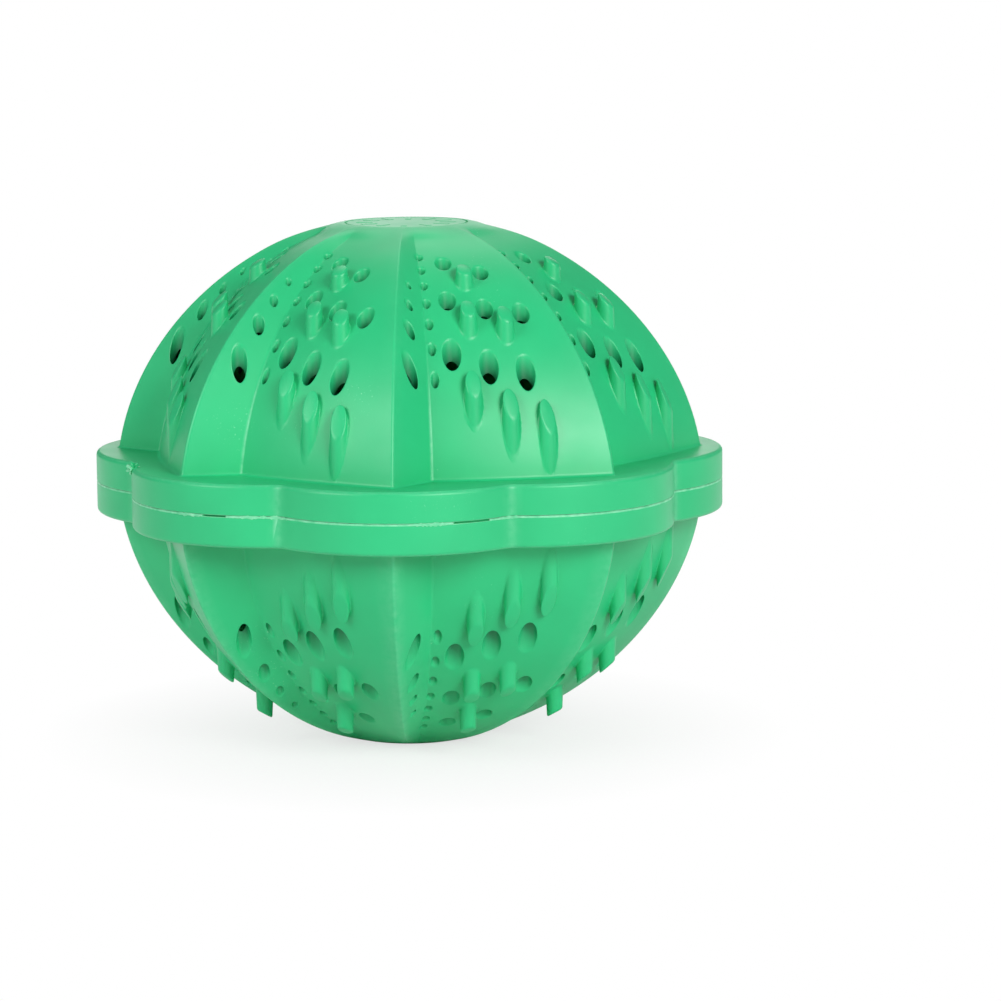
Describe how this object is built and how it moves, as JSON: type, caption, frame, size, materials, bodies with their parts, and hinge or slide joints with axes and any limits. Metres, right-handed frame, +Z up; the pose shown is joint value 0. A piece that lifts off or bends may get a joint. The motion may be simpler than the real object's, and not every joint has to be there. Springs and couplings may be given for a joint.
{
  "type": "laundry ball",
  "caption": "Reusable laundry ball: two fluted, perforated half shells with pegs, joined at a lobed flange, holding loose ceramic beads.",
  "frame": {"origin": "centre of the lower crown disc that the ball rests on, on the ball's axis", "axes": "+Z up along the ball's axis, square to the parting flange; -Y towards the ridge that faces the viewer"},
  "size_m": [0.1148, 0.1148, 0.0954],
  "materials": {
    "shell_green": "satin moulded polypropylene, faint sheen",
    "bead_white": "unglazed fired clay, off-white",
    "bead_tan": "unglazed fired clay, tan",
    "bead_grey": "unglazed fired clay, grey",
    "bead_brown": "unglazed fired clay, red-brown"
  },
  "bodies": {
    "lower_shell": {"lower_shell": "shell_green"},
    "upper_shell": {"upper_shell": "shell_green"},
    "bead_fill": {"brown_bead_04": "bead_brown", "brown_bead_08": "bead_brown", "brown_bead_12": "bead_brown", "brown_bead_16": "bead_brown", "brown_bead_20": "bead_brown", "brown_bead_24": "bead_brown", "brown_bead_28": "bead_brown", "grey_bead_03": "bead_grey", "grey_bead_07": "bead_grey", "grey_bead_11": "bead_grey", "grey_bead_15": "bead_grey", "grey_bead_19": "bead_grey", "grey_bead_23": "bead_grey", "grey_bead_27": "bead_grey", "tan_bead_02": "bead_tan", "tan_bead_06": "bead_tan", "tan_bead_10": "bead_tan", "tan_bead_14": "bead_tan", "tan_bead_18": "bead_tan", "tan_bead_22": "bead_tan", "tan_bead_26": "bead_tan", "white_bead_01": "bead_white", "white_bead_05": "bead_white", "white_bead_09": "bead_white", "white_bead_13": "bead_white", "white_bead_17": "bead_white", "white_bead_21": "bead_white", "white_bead_25": "bead_white"}
  },
  "joints": [
    {"name": "shell_lift", "type": "slide", "parent": "lower_shell", "child": "upper_shell", "axis": [0, 0, 1], "range_m": [0, 0.07]},
    {"name": "bead_tumble", "type": "slide", "parent": "lower_shell", "child": "bead_fill", "axis": [0, 0, 1], "range_m": [0, 0.05]}
  ]
}
